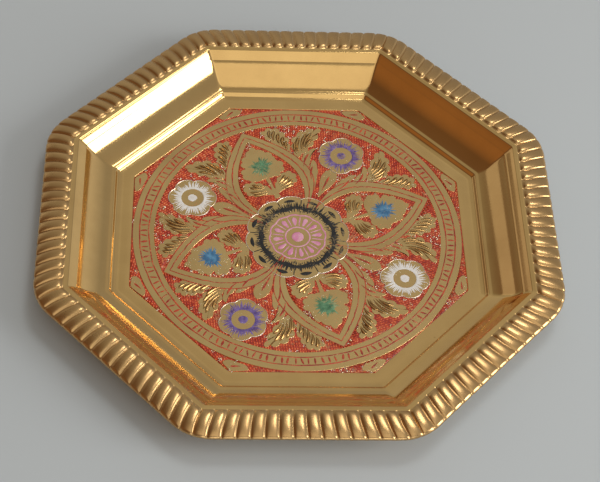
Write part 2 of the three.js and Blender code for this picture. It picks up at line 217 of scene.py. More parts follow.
def make_piece(name, grids, material, slot, *nodes):
    """One mesh from grids of points, whose columns run round.  Doubled points at poles and seams are
    merged, and the normals are recalculated, which still leaves some very flat strokes inside out."""
    points, faces, used = [], [], 0
    for grid in grids:
        grid = grid.reshape((-1,) + grid.shape[-3:])
        points.append(grid.reshape(-1, 3))
        faces.append(grid_faces(*grid.shape[:3]) + used)
        used += points[-1].shape[0]
    points, faces = np.concatenate(points), np.concatenate(faces)
    mesh = bpy.data.meshes.new(name)
    mesh.vertices.add(len(points))
    mesh.vertices.foreach_set("co", points.ravel())
    mesh.loops.add(faces.size)
    mesh.loops.foreach_set("vertex_index", faces.ravel())
    mesh.polygons.add(len(faces))
    mesh.polygons.foreach_set("loop_start", np.arange(0, faces.size, 4))
    mesh.update(calc_edges=True)
    build = bmesh.new()
    build.from_mesh(mesh)
    bmesh.ops.remove_doubles(build, verts=build.verts, dist=1e-7)
    bmesh.ops.dissolve_degenerate(build, edges=build.edges, dist=1e-8)
    bmesh.ops.recalc_face_normals(build, faces=build.faces)
    build.to_mesh(mesh)
    build.free()
    mesh.polygons.foreach_set("use_smooth", np.ones(len(mesh.polygons), bool))
    mesh.materials.append(material)
    piece = bpy.data.objects.new(name, mesh)
    bpy.context.scene.collection.objects.link(piece)
    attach(piece, "root")
    if nodes:
        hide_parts(*nodes)
    return piece


def new_group(name, inputs, outputs):
    """An empty node group with named inputs, their starting values, and named outputs.  It gives back
    the tree, the points in the piece's own space, and the inputs.  Four numbers make a colour."""
    tree = bpy.data.node_groups.new(name, "ShaderNodeTree")
    for label, value in inputs.items():
        kind = "NodeSocketColor" if np.size(value) == 4 else "NodeSocketFloat"
        tree.interface.new_socket(name=label, in_out="INPUT", socket_type=kind).default_value = value
    for label in outputs:
        kind = "NodeSocketColor" if label == "Color" else "NodeSocketFloat"
        tree.interface.new_socket(name=label, in_out="OUTPUT", socket_type=kind)
    points = node(tree, "ShaderNodeTexCoord", (-900, 300)).outputs["Object"]
    return tree, points, node(tree, "NodeGroupInput", (-900, 0)).outputs


def noise(tree, place, points, scale, detail=2, roughness=0.5):
    """Soft noise over points, 0 to 1."""
    inputs = {"Vector": points, "Scale": scale, "Detail": detail, "Roughness": roughness}
    return node(tree, "ShaderNodeTexNoise", place, inputs).outputs["Fac"]


def combined(tree, place, operation, first, second):
    """Two values combined by a named operation, such as their product or the larger of them."""
    return node(tree, "ShaderNodeMath", place, {0: first, 1: second}, operation=operation).outputs["Value"]


def mixed(tree, place, share, first, second):
    """A colour that is a share of the way from the first to the second."""
    inputs = {"Factor": share, "A": first, "B": second}
    return node(tree, "ShaderNodeMix", place, inputs, data_type="RGBA").outputs["Result"]


def tarnish_group():
    """Polished brass that has been handled: soft cloudy patches, small dark spots here and there, and
    fine wiping marks.  It puts out a colour, a roughness and a height."""
    tree, points, given = new_group(
        "tarnish",
        {"Bright": (0.8, 0.6, 0.3, 1), "Dull": (0.5, 0.33, 0.14, 1), "Amount": 0.5, "Smooth": 0.18,
         "Rough": 0.34},
        ("Color", "Roughness", "Height"),
    )
    clouds = ranged(tree, (-400, 300), noise(tree, (-600, 300), points, 38, 5, 0.6), 0.36, 0.70)
    clouds = combined(tree, (-200, 300), "MULTIPLY", clouds, given["Amount"])
    stretch = node(tree, "ShaderNodeMapping", (-750, -100),
                   {"Vector": points, "Scale": (260, 1500, 400), "Rotation": (0, 0, 0.5)})
    wiping = noise(tree, (-600, -100), stretch.outputs["Vector"], 1.0, 3)
    cells = node(tree, "ShaderNodeTexVoronoi", (-600, -400), {"Vector": points, "Scale": 210})
    spots = ranged(tree, (-400, -400), cells.outputs["Distance"], 0.05, 0.14, 1, 0)
    rare = ranged(tree, (-400, -650), noise(tree, (-600, -650), points, 60), 0.58, 0.66)
    spots = combined(tree, (-200, -500), "MULTIPLY", spots, rare)
    dull = combined(tree, (0, 100), "MAXIMUM", clouds, spots)
    node(tree, "NodeGroupOutput", (700, 0),
         {"Color": mixed(tree, (250, 200), dull, given["Bright"], given["Dull"]),
          "Roughness": ranged(tree, (250, -100), dull, 0, 1, given["Smooth"], given["Rough"]),
          "Height": wiping})
    return tree


def group_finish(name, group, given, plain, bump_strength, bump_distance):
    """A material: the group, with its given values, drives what varies over the surface, its height
    raises a bump, and plain values go straight on the shader."""
    paint = bpy.data.materials.new(name)
    paint.use_nodes = True
    tree = paint.node_tree
    mix = node(tree, "ShaderNodeGroup", (-500, 100), given, node_tree=group)
    bump = node(tree, "ShaderNodeBump", (-250, -200),
                {"Strength": bump_strength, "Distance": bump_distance, "Height": mix.outputs["Height"]})
    driven = {"Base Color": mix.outputs["Color"], "Roughness": mix.outputs["Roughness"],
              "Normal": bump.outputs["Normal"]}
    if "Metallic" in mix.outputs:
        driven["Metallic"] = mix.outputs["Metallic"]
    feed(tree, tree.nodes["Principled BSDF"], driven | plain)
    return paint


tarnish = tarnish_group()


def brass_finish(name, bright, dull, amount, smooth, rough, marks):
    """Brass: bright and dull colours and smooth and rough values for the tarnish, and the strength of
    its wiping marks."""
    given = {"Bright": (*bright, 1), "Dull": (*dull, 1), "Amount": amount, "Smooth": smooth, "Rough": rough}
    return group_finish(name, tarnish, given, {"Metallic": 1.0}, marks, 0.00002)


sheet_brass = brass_finish("sheet_brass", (0.90, 0.595, 0.24), (0.66, 0.41, 0.155), 0.45, 0.08, 0.20, 0.35)
rim_brass = brass_finish("rim_brass", (0.71, 0.455, 0.20), (0.50, 0.30, 0.125), 0.60, 0.24, 0.38, 0.8)

# the section as (share of half, height over the floor in mm); each run is one smooth stretch
FLUTE_END = 0.8896
flute_run = [(0.8896, 14.10), (0.908, 14.12), (0.935, 13.95), (0.965, 13.50), (0.990, 12.90), (0.996, 12.60),
             (1.0, 12.05)]
land_run = [(0.8875, 14.15), (0.879, 13.95), (0.8712, 13.8)]
lip_run = [(0.8695, 13.60), (0.8630, 12.95), (0.8535, 11.90), (0.8450, 10.95)]
foot_run = [(0.7415, 2.02), (0.7350, 1.86), (0.7280, 1.66), (0.7235, 1.20), (0.7185, 0.62), (0.7145, 0.36),
            (0.7070, 0.17), (0.6990, 0.0)]
wall_top, wall_foot = np.array([0.8425, 10.72]), np.array([0.7430, 2.09])
WALL_BOW = 0.95                          # mm; the wall is bowed outwards by this at its middle
FLUTE_RISE = 1.0 * MM
SCALLOP = 0.25 * MM                      # the outer edge draws in by this between two flutes
TWIST = 0.14                             # of a flute's width, between its inner end and the outer edge
LAND_CORNER, EDGE_CORNER, WALL_CORNER = 4.5, 24, 2.6     # mm, radii of the octagon's corners
UNEVEN = 0.03 * MM


def section_top():
    """Rows of the upper face as (share of half, height in mm), from the outer edge inwards, and how many
    of them are fluted.  The wall is a straight slope bowed outwards by a parabola."""
    flutes = curve_through(flute_run[::-1], 3)
    land = curve_through(land_run, 2)
    lip = curve_through(lip_run, 2)
    share = np.array([0, 0.03, 0.1, 0.2, 0.3, 0.4, 0.5, 0.6, 0.7, 0.8, 0.9, 0.97, 1])[:, None]
    straight = wall_top + (wall_foot - wall_top) * share
    chord = (wall_top - wall_foot) * (half / MM, 1)
    outwards = np.array([chord[1], -chord[0]]) / np.hypot(*chord) / (half / MM, 1)
    wall = straight + 4 * WALL_BOW * share * (1 - share) * outwards
    foot = curve_through(foot_run, 3)
    plain = np.array([(0.690, 0.0), (0.672, 0.0), (0.6545, 0.0)])
    return np.concatenate([flutes, land, lip, wall, foot, plain]), len(flutes)


def pressed_sheet():
    """Rows of the sheet's whole skin.  A row is a rounded octagon; on the fluted band its height gains
    a lobe: one less a power of the distance across the flute and a power of the distance short of its
    inner end, to a power.  The underside is the upper face moved one sheet thickness along its normal."""
    across_flute = np.array([0, 0.07, 0.18, 0.38, 0.62, 0.82, 0.93])
    across_side = ((np.arange(FLUTES)[:, None] + across_flute) / FLUTES).ravel()
    near_corner = np.array([0.0012, 0.0026, 0.0072, 0.0092])
    shares = np.unique(np.concatenate([across_side, near_corner, 1 - near_corner]))
    shares = (np.arange(SIDES)[:, None] + shares).ravel()[None, :]
    top, fluted_rows = section_top()
    apothem, height = top[:, 0] * half, top[:, 1] * MM
    slope = np.gradient(np.stack([apothem, height]), axis=1)
    normal = np.stack([slope[1], -slope[0]]) / np.hypot(*slope)
    under_rows = np.r_[0:fluted_rows:2, fluted_rows:len(top) - 4:3, len(top) - 4]
    under = [(apothem - normal[0] * SHEET)[under_rows], (height - normal[1] * SHEET)[under_rows]]
    edge_apothem = [apothem[0] + 0.10 * MM, apothem[0] + 0.12 * MM]
    edge_height = [height[0] - 0.25 * SHEET, height[0] - 0.7 * SHEET]
    bed = np.array([FIELD, FIELD - 0.04 * MM, 0.0])
    rows_a = np.concatenate([[0.0], under[0][::-1], edge_apothem[::-1], apothem, bed])
    rows_z = np.concatenate([[-SHEET], under[1][::-1], edge_height[::-1], height,
                             [-0.02 * MM, -FIELD_DEPTH, -FIELD_DEPTH]])
    outward = np.clip((rows_a / half - FLUTE_END) / (1 - FLUTE_END), 0, 1)[:, None]
    corner = np.where(outward > 0, LAND_CORNER + (EDGE_CORNER - LAND_CORNER) * outward, WALL_CORNER) * MM
    corner = np.minimum(corner, 0.5 * rows_a[:, None] + 1e-6)
    across = 2 * ((shares * FLUTES) % 1) - 1
    short = 1 - np.clip(outward * 4.2, 0, 1)
    lobe = np.clip(1 - np.abs(across) ** 3.6 - short ** 2.4, 0, 1) ** 0.6
    fade = 1 - 0.38 * np.clip(outward * 2 - 1, 0, 1) ** 2
    rise = FLUTE_RISE * lobe * fade * (outward > 0)
    scallop = SCALLOP * (lobe - 1) * np.clip(outward * 4 - 3, 0, 1)
    twist = TWIST * np.clip(outward * 1.6 - 0.6, 0, 1) ** 1.5 / FLUTES
    x, y = octagon(rows_a[:, None] + scallop, corner, shares + twist)
    wave = np.sin(41 * x + 1.3) * np.sin(53 * y + 0.4) + 0.6 * np.sin(97 * x - 71 * y)
    z = rows_z[:, None] + SHEET + rise + UNEVEN * wave * (rows_z[:, None] > 0.3 * MM)
    return np.stack([x, y, z + 0 * x], -1)


sheet = make_piece("pressed_sheet", [pressed_sheet()], sheet_brass, "brass", "tray_body")
sheet.data.materials.append(rim_brass)
centres = np.empty(3 * len(sheet.data.polygons))
sheet.data.polygons.foreach_get("center", centres)
centres = centres.reshape(-1, 3)
facing = np.arctan2(centres[:, 1], centres[:, 0]) % (2 * math.pi / SIDES)
facing = np.minimum(facing, 2 * math.pi / SIDES - facing)
on_rim = np.hypot(centres[:, 0], centres[:, 1]) * np.cos(facing) > FLUTE_END * half
sheet.data.polygons.foreach_set("material_index", on_rim.astype(np.int32))

# ---- The brass left standing in the engraved field ------------------------------------------------
# The engraver chisels the ground away round the pattern, so the pattern stays at the level of the floor.
# First the plain ring that carries the ladder, and the four pointed petal frames.

BASE = FIELD_BED - 0.02 * MM             # standing brass is rooted a little below the sunk field
BEVEL = 0.05 * MM
GROUND = 0.5645                          # outer radius of the chiselled ground
CIRCLE = 0.6480                          # inner radius of the border
PETAL_TURNS = (19.0, 113.0, 201.0, 286.5)


def set_out(points, turn=0.0):
    """Plan points given as shares of half, turned about the tray's middle by degrees, in metres."""
    points = np.asarray(points, float)
    c, s = math.cos(math.radians(turn)), math.sin(math.radians(turn))
    x, y = points[..., 0], points[..., 1]
    return np.stack([x * c - y * s, x * s + y * c], -1) * half


def arc(radius, turns):
    """Plan points at a radius, for an array of angles in radians."""
    return np.stack([radius * np.cos(turns), radius * np.sin(turns)], -1)


def petal_side(base, base_half, widest, widest_half, tip):
    """Upper side of a pointed petal along +X.  Up to its widest place the half width falls short by a
    square, and from there it shrinks by the power 1.8 of the way to the tip."""
    before = np.linspace(base, widest, 8, endpoint=False)
    after = np.linspace(widest, tip, 26)
    rising = widest_half - (widest_half - base_half) * ((widest - before) / (widest - base)) ** 2
    falling = widest_half * (1 - ((after - widest) / (tip - widest)) ** 1.8)
    return np.stack([np.concatenate([before, after]), np.concatenate([rising, falling])], -1)


def both_sides(side):
    """A petal's whole edge: out along its lower side to the tip and back along the upper one."""
    return np.concatenate([side * (1, -1), side[-2::-1]])


def raised(plan, level):
    """Plan points with their heights; one height can stand for a whole row or column of them."""
    return np.concatenate([plan, np.broadcast_to(level[..., None], plan.shape[:-1] + (1,))], -1)


def carried(grid, closed=False):
    """Sections carried along a path: the last one joins the first, or each end closes to a point."""
    if closed:
        return np.concatenate([grid, grid[:1]])
    first, last = (np.broadcast_to(grid[k].mean(0), grid[k].shape)[None] for k in (0, -1))
    return np.concatenate([first, grid, last])


def band(edge_a, edge_b, top, closed=False):
    """Standing brass between two edges: across it the section rises from the root, rounds over the
    bevel, runs flat and falls again."""
    width = np.linalg.norm(edge_b - edge_a, axis=-1, keepdims=True)
    inset = np.minimum(1.5 * BEVEL / np.maximum(width, 1e-9), 0.25)
    near = np.array([0, 0, 0.6, 1, 1.6]) * inset
    share = np.concatenate([near, np.full_like(inset, 0.5), 1 - near[:, ::-1]], -1)[..., None]
    side = [BASE, top - BEVEL, top - 0.2 * BEVEL, top, top]
    plan = edge_a[:, None] * (1 - share) + edge_b[:, None] * share
    return carried(raised(plan, np.array(side + [top] + side[::-1])), closed)


def island(outline, top=FLOOR_TOP):
    """Standing brass inside an outline: rings of the outline drawn in towards its middle make the flat
    top, then the bevel, the side and the root."""
    middle = outline.mean(0)
    bevel = np.minimum(BEVEL / np.linalg.norm(outline - middle, axis=-1), 0.1)[:, None]
    scale = np.array([0, 0.45, 0.76, 1, 1, 1, 1, 1, 0])[:, None, None]
    scale = scale - np.array([0, 0, 0, 2.4, 1.5, 0.9, 0, 0, 0])[:, None, None] * bevel
    level = np.array([top, top, top, top, top, top - 0.2 * BEVEL, top - BEVEL, BASE, BASE])
    return raised(middle + (outline - middle) * scale, level[:, None])


ring_turns = np.linspace(0, 2 * math.pi, 288, endpoint=False)
cut_brass = brass_finish("cut_brass", (0.88, 0.62, 0.27), (0.60, 0.39, 0.16), 0.55, 0.12, 0.26, 0.3)
make_piece("ladder_ring", [band(set_out(arc(GROUND, ring_turns)), set_out(arc(CIRCLE, ring_turns)),
                                FLOOR_TOP, closed=True)], cut_brass, "brass", "tray_body")

FRAME_SIDE = petal_side(0.100, 0.0810, 0.270, 0.1785, 0.5600)
INNER_SIDE = petal_side(0.100, 0.0726, 0.270, 0.1250, 0.5050)
for number, turn in enumerate(PETAL_TURNS, 1):
    frame_band = band(set_out(both_sides(INNER_SIDE), turn), set_out(both_sides(FRAME_SIDE), turn), FLOOR_TOP)
    make_piece(f"petal_frame_{number}", [frame_band], cut_brass, "brass", "tray_body")

# ---- Buds, leaves and flowers left standing -------------------------------------------------------
# Inside each petal a three-lobed bud on a stem with two leaves.  Between the petals a round flower on a
# bulb, with two small and two large leaves on each hand.  In each corner of the border a small leaf.

FLOWER_TURNS = (65.0, 158.0, 242.5, 332.0)
FLOWER_REACH = (0.442, 0.450, 0.472, 0.463)
FLOWER_RADIUS = 0.092
CORNER_TURNS = 22.5 + 45.0 * np.arange(SIDES)
DRAWN_GAP = 46.0                         # degrees from a flower to a petal, as the leaves here are drawn
BUD = [(0.300, 0.010), (0.297, 0.036), (0.305, 0.063), (0.325, 0.083), (0.350, 0.089), (0.369, 0.080),
       (0.379, 0.067), (0.400, 0.070), (0.424, 0.057), (0.441, 0.036), (0.470, 0.0)]
BUD_LEAF = [(0.212, 0.006), (0.224, 0.045), (0.231, 0.080), (0.246, 0.104), (0.268, 0.112), (0.290, 0.106),
            (0.303, 0.088), (0.298, 0.062), (0.280, 0.036), (0.250, 0.013)]
STEM = [(0.190, 0.013), (0.250, 0.006), (0.306, 0.009)]
BULB = [(0.200, 0.0), (0.240, 0.012), (0.280, 0.026), (0.315, 0.031), (0.345, 0.021), (0.362, 0.0)]
LEAF_LOW = [(0.225, 0.028), (0.280, 0.039), (0.330, 0.054), (0.366, 0.078), (0.372, 0.093), (0.345, 0.089),
            (0.310, 0.083), (0.265, 0.060)]
LEAF_SMALL = [(0.296, 0.090), (0.330, 0.093), (0.370, 0.101), (0.405, 0.109), (0.432, 0.104), (0.418, 0.123),
              (0.386, 0.136), (0.352, 0.131), (0.322, 0.113)]
LEAF_OUT = [(0.346, 0.153), (0.385, 0.141), (0.430, 0.129), (0.480, 0.124), (0.527, 0.128), (0.535, 0.140),
            (0.515, 0.171), (0.489, 0.193), (0.460, 0.204), (0.430, 0.205), (0.403, 0.191), (0.372, 0.171)]
LEAF_UP = [(0.360, 0.178), (0.385, 0.192), (0.406, 0.206), (0.430, 0.222), (0.449, 0.246), (0.462, 0.275),
           (0.462, 0.301), (0.447, 0.322), (0.424, 0.332), (0.405, 0.312), (0.391, 0.275), (0.376, 0.230)]
CORNER_LEAF = [(0.656, 0.045), (0.656, 0.012), (0.657, -0.022), (0.676, -0.039), (0.690, -0.020),
               (0.7000, 0.003), (0.690, 0.030), (0.672, 0.062)]
GAP_LEAVES = ((LEAF_LOW, 8, 0.003), (LEAF_SMALL, 7, 0.004), (LEAF_OUT, 10, 0.013), (LEAF_UP, 11, 0.013))


def scalloped(points, count, depth):
    """Smooth outline through the points, pushed out square to itself by round lobes: the depth times a
    power of the size of a sine of the length, less 0.55, growing with the distance from the end nearest
    the tray's middle."""
    path = curve_through(points, 8, closed=True)
    run = np.roll(path, -1, axis=0) - np.roll(path, 1, axis=0)
    size = np.linalg.norm(run, axis=1)
    away = np.stack([run[:, 1], -run[:, 0]], -1) / size[:, None]
    away = away * np.sign((away * (path - path.mean(0))).sum())
    root = path[np.argmin(np.hypot(*path.T))]
    grown = np.clip(np.linalg.norm(path - root, axis=1) / 0.05 - 0.4, 0, 1)
    lobes = np.abs(np.sin(math.pi * count * np.cumsum(size) / size.sum())) ** 0.7 - 0.55
    return path + (depth * grown * lobes)[:, None] * away


def mirrored(points):
    """The same plan points on the other hand, in the opposite order."""
    return np.asarray(points)[::-1] * (1, -1)


def spread(points, index):
    """Plan points between two petals, with each hand's angle stretched to the real gap between them."""
    points = np.asarray(points, float)
    turn = FLOWER_TURNS[index]
    ahead = (PETAL_TURNS[(index + 1) % 4] - turn) % 360
    behind = (turn - PETAL_TURNS[index]) % 360
    radius, angle = np.hypot(points[..., 0], points[..., 1]), np.arctan2(points[..., 1], points[..., 0])
    angle = angle * np.where(angle > 0, ahead, behind) / DRAWN_GAP
    return arc(radius, angle)


flower_turns = np.linspace(0, 2 * math.pi, 120, endpoint=False)
flower_edge = FLOWER_RADIUS * (0.90 + 0.15 * np.abs(np.cos(3 * flower_turns - 1.0)) ** 0.7)
whole_bud = scalloped(np.concatenate([BUD, mirrored(BUD)[1:]]), 15, 0.010)
stem = np.concatenate([np.asarray(STEM), mirrored(STEM)])
bulb = curve_through(np.concatenate([BULB, mirrored(BULB)[1:-1]]), 5, closed=True)

for number, turn in enumerate(PETAL_TURNS, 1):
    shapes = [island(set_out(whole_bud, turn)), island(set_out(stem, turn), FLOOR_TOP - 0.01 * MM)]
    for leaf in (BUD_LEAF, mirrored(BUD_LEAF)):
        shapes.append(island(set_out(scalloped(leaf, 10, 0.009), turn), FLOOR_TOP - 0.005 * MM))
    make_piece(f"bud_{number}", shapes, cut_brass, "brass", "tray_body")

for index, turn in enumerate(FLOWER_TURNS):
    flower = arc(flower_edge, flower_turns) + (FLOWER_REACH[index], 0)
    shapes = [island(set_out(flower, turn)), island(set_out(bulb, turn), FLOOR_TOP - 0.01 * MM)]
    for order, (leaf, lobes, depth) in enumerate(GAP_LEAVES):
        for hand in (leaf, mirrored(leaf)):
            plan = spread(scalloped(hand, lobes, depth), index)
            shapes.append(island(set_out(plan, turn), FLOOR_TOP - (0.004 + 0.004 * order) * MM))
    make_piece(f"gap_leaves_{index + 1}", shapes, cut_brass, "brass", "tray_body")

corner_leaf = curve_through(CORNER_LEAF, 4, closed=True)
corner_leaves = [island(set_out(corner_leaf, turn)) for turn in CORNER_TURNS]
make_piece("corner_leaves", corner_leaves, cut_brass, "brass", "tray_body")

# ---- The red ground -------------------------------------------------------------------------------
# Red lacquer in the chiselled ground.  The chisel leaves close rows of short ridges, and the lacquer
# pools between them; on some crests it is rubbed thin and the brass shines through.

rng = np.random.default_rng(7)           # every random draw of the script comes from here, in order
LACQUER_BED = FIELD_BED - 0.01 * MM
LACQUER_TOP = FIELD_BED + 0.07 * MM
HATCH_PITCH = 0.0098 * half              # between rows of ridges
DASH = 1.5 * MM                          # length of a ridge
UNDER_FRAME = 0.004                      # the lacquer runs this far under the standing brass
PETAL_LEAN, GAP_LEANS, CORNER_LEAN = 38, (25, 60, 35, 50), 55    # degrees the rows lean in each area
RIDGE = np.array([(-1, 0), (0, 1), (1, 0), (0, -0.4)])       # section of a ridge: across, and up
SHORT_CUT = np.array([0, 0.62, 1, 0.62, 0])                  # share of its full width, along its length


def lacquer_group():
    """Lacquer in cut brass: clouds of thinner and thicker colour, a fine unevenness, and a mask of
    small places where it is rubbed off.  It puts out colour, metallic, roughness and height."""
    tree, points, given = new_group(
        "lacquer",
        {"Thick": (0.5, 0.05, 0.02, 1), "Thin": (0.8, 0.2, 0.1, 1), "Brass": (0.8, 0.6, 0.3, 1),
         "Rubbed": 0.3},
        ("Color", "Metallic", "Roughness", "Height"),
    )
    clouds = ranged(tree, (-350, 300), noise(tree, (-600, 300), points, 420, 4), 0.38, 0.64)
    colour = mixed(tree, (-100, 300), clouds, given["Thick"], given["Thin"])
    grain = noise(tree, (-600, 0), points, 1500)
    specks = noise(tree, (-600, -300), points, 900, 3)
    specks = combined(tree, (-350, -400), "MULTIPLY", specks, noise(tree, (-600, -550), points, 70))
    rubbed = ranged(tree, (-150, -400), specks, 0.30, 0.36)
    rubbed = combined(tree, (50, -400), "MULTIPLY", rubbed, given["Rubbed"])
    node(tree, "NodeGroupOutput", (700, 0),
         {"Color": mixed(tree, (250, 200), rubbed, colour, given["Brass"]), "Metallic": rubbed,
          "Roughness": ranged(tree, (250, -100), grain, 0.3, 0.7, 0.22, 0.42), "Height": grain})
    return tree


lacquer = lacquer_group()


def lacquer_finish(name, thick, thin, rubbed):
    """Lacquer of one colour, thick and thin, under a clear gloss; rubbed is how far the brass shows."""
    given = {"Thick": (*thick, 1), "Thin": (*thin, 1), "Brass": (0.80, 0.58, 0.28, 1), "Rubbed": rubbed}
    return group_finish(name, lacquer, given, {"Coat Weight": 0.2, "Coat Roughness": 0.12}, 0.4, 0.00008)


deep_red = lacquer_finish("deep_red_lacquer", (0.36, 0.020, 0.007), (0.66, 0.064, 0.020), 0.30)
red = lacquer_finish("red_lacquer", (0.72, 0.072, 0.020), (1.0, 0.270, 0.090), 0.50)


def between(edge_a, edge_b, columns):
    """Rows of points in equal shares of the way from one edge to the other."""
    share = np.linspace(0, 1, columns)[None, :, None]
    return edge_a[:, None] * (1 - share) + edge_b[:, None] * share


def slab(plan):
    """Lacquer over rows of plan points, as a thin closed slab: across on top, and back below."""
    level = np.repeat([LACQUER_TOP, LACQUER_BED], plan.shape[1])
    return carried(raised(np.concatenate([plan, plan[:, ::-1]], 1), level))


def strokes(starts, ends, width, low, crown, taper, section, bow=0.0):
    """Many tapered strokes at once.  A point lies at its share of the way from start to end, pushed
    sideways by the bow, a parabola, and out along the section by the stroke's half width there; the
    section also gives its height between low and the crown."""
    count = len(starts)
    width, crown, bow = (np.broadcast_to(v, count)[:, None] for v in (width, crown, bow))
    share = np.linspace(0, 1, len(taper))[None, :]
    run = ends - starts
    across = np.stack([-run[:, 1], run[:, 0]], -1)
    length = np.maximum(np.linalg.norm(run, axis=1, keepdims=True), 1e-9)
    across = across / length
    sideways = (bow * length * 4 * share * (1 - share))[..., None] * across[:, None]
    path = starts[:, None] + run[:, None] * share[..., None] + sideways
    out = (0.5 * width * taper)[..., None, None] * section[:, 0][:, None]
    plan = path[:, :, None] + out * across[:, None, None]
    level = low + (crown * np.maximum(taper, 0.02))[..., None] * section[:, 1]
    return raised(plan, level)


def rows_across(outline, angle, pitch):
    """Ends of the parallel rows that fill an outline: each row is cut where it crosses the edges."""
    c, s = math.cos(angle), math.sin(angle)
    turned = outline @ np.array([[c, -s], [s, c]])
    x0, y0 = turned.T
    x1, y1 = np.roll(turned, -1, axis=0).T
    starts, ends = [], []
    for y in np.arange(y0.min() + pitch / 2, y0.max(), pitch):
        crossed = (y0 > y) != (y1 > y)
        x = np.sort(x0[crossed] + (y - y0[crossed]) / (y1[crossed] - y0[crossed]) * (x1 - x0)[crossed])
        starts += [(a, y) for a in x[0::2]]
        ends += [(b, y) for b in x[1::2]]
    back = np.array([[c, s], [-s, c]])
    return np.array(starts) @ back, np.array(ends) @ back


glints = []


def hatching(outline, angle):
    """Short ridges that fill an outline: its rows, broken into dashes of uneven length and height.  In
    patches some of them are worn through to the brass, and are kept apart as glints."""
    starts, ends = rows_across(outline, angle, HATCH_PITCH)
    length = np.linalg.norm(ends - starts, axis=1)
    pieces = np.maximum(np.round(length / DASH), 1).astype(int)
    row = np.repeat(np.arange(len(starts)), pieces)
    place = np.concatenate([np.arange(n) for n in pieces])
    uneven = rng.uniform(-0.18, 0.18, len(row))
    first = np.clip((place + 0.04 + uneven * (place > 0)) / pieces[row], 0, 1)[:, None]
    last = np.clip((place + 0.96 + uneven) / pieces[row], 0, 1)[:, None]
    run = (ends - starts)[row]
    jitter = rng.normal(0, 0.05 * HATCH_PITCH, (len(row), 2))
    crown = rng.uniform(0.06, 0.17, len(row)) * MM
    width = rng.uniform(0.62, 0.92, len(row)) * HATCH_PITCH
    first, last = starts[row] + run * first + jitter, starts[row] + run * last + jitter
    ridges = strokes(first, last, width, LACQUER_TOP - 0.005 * MM, crown, SHORT_CUT, RIDGE)
    worn = 0.04 + 0.30 * np.clip(np.sin(95 * first[:, 0] + 2) * np.sin(120 * first[:, 1] + 1), 0, 1)
    worn = rng.random(len(row)) < worn
    glints.append(ridges[worn])
    return ridges[~worn]


def gap_plan(index):
    """Plan of the ground between two petals: radius and angle run in equal shares from the side of the
    petal behind to that of the petal ahead, and on out to the plain ring."""
    edges = (set_out(FRAME_SIDE, PETAL_TURNS[index]),
             set_out(FRAME_SIDE * (1, -1), PETAL_TURNS[(index + 1) % 4]))
    behind, ahead = (np.stack([np.hypot(*edge.T), np.unwrap(np.arctan2(edge[:, 1], edge[:, 0]))], -1)
                     for edge in edges)
    ahead[:, 1] += 2 * math.pi * np.round((behind[-1, 1] + math.pi / 2 - ahead[-1, 1]) / 2 / math.pi)
    behind[:, 1] -= UNDER_FRAME * half / behind[:, 0]
    ahead[:, 1] += UNDER_FRAME * half / ahead[:, 0]
    sides = [np.concatenate([side, [[(GROUND + 0.003) * half, side[-1, 1]]]]) for side in (behind, ahead)]
    swept = between(*sides, 24)
    return arc(swept[..., 0], swept[..., 1])


for number, turn in enumerate(PETAL_TURNS, 1):
    side = INNER_SIDE + (0, UNDER_FRAME)
    plan = between(set_out(side * (1, -1), turn), set_out(side, turn), 14)
    outline = np.concatenate([set_out(INNER_SIDE * (1, -1), turn), set_out(INNER_SIDE[::-1], turn)])
    ridges = hatching(outline, math.radians(turn + PETAL_LEAN))
    make_piece(f"petal_red_{number}", [slab(plan)], deep_red, "lacquer_red", f"petal_ground_{number}")
    make_piece(f"petal_hatch_{number}", [ridges], red, "lacquer_red")

for index, turn in enumerate(FLOWER_TURNS):
    plan = gap_plan(index)
    outline = np.concatenate([plan[:, 0], plan[-1, 1:], plan[::-1, -1]])
    ridges = hatching(outline, math.radians(turn + GAP_LEANS[index]))
    make_piece(f"gap_red_{index + 1}", [slab(plan)], deep_red, "lacquer_red", f"gap_ground_{index + 1}")
    make_piece(f"gap_hatch_{index + 1}", [ridges], red, "lacquer_red")

# the border: red between its circle and the engraved octagon
BORDER = 0.6524                          # its apothem, just inside the field's edge
border_turns = np.linspace(0, 2 * math.pi, 289)
facing = (border_turns + math.pi / SIDES) % (2 * math.pi / SIDES) - math.pi / SIDES
border_out = set_out(arc(BORDER / np.cos(facing), border_turns))
border_in = set_out(arc(CIRCLE - 0.003, border_turns))
wedge = np.concatenate([[(0.7060, 0.0)], arc(0.6500, np.linspace(-0.34, 0.34, 15)[::-1])])
corner_ridges = [hatching(set_out(wedge, turn), math.radians(turn + CORNER_LEAN)) for turn in CORNER_TURNS]
border = slab(between(border_in, border_out, 4))[1:-1]   # it runs right round, so it has no pointed ends
make_piece("border_red", [border], deep_red, "lacquer_red", "border_fill")
make_piece("border_hatch", corner_ridges, red, "lacquer_red")

# ---- The engraved lines ---------------------------------------------------------------------------
# Thin red lines cut into the standing brass: the ladder with its rungs, a wandering line along the
# middle of each petal frame, and one along its outer edge.

LINE_SIDE = petal_side(0.100, 0.0845, 0.270, 0.1500, 0.5330)
LENS = np.array([(-1, 0), (-0.6, 0.72), (0, 1), (0.6, 0.72), (1, 0), (0, -0.4)])   # section of a bead
CUT = np.array([0, 0.62, 0.92, 1, 0.92, 0.62, 0])            # width along a cut that fades at both ends
LINE_LOW = FLOOR_TOP - 0.012 * MM
LINE_CROWN = 0.035 * MM
line_red = lacquer_finish("line_red_lacquer", (0.36, 0.020, 0.007), (0.68, 0.080, 0.025), 0.35)


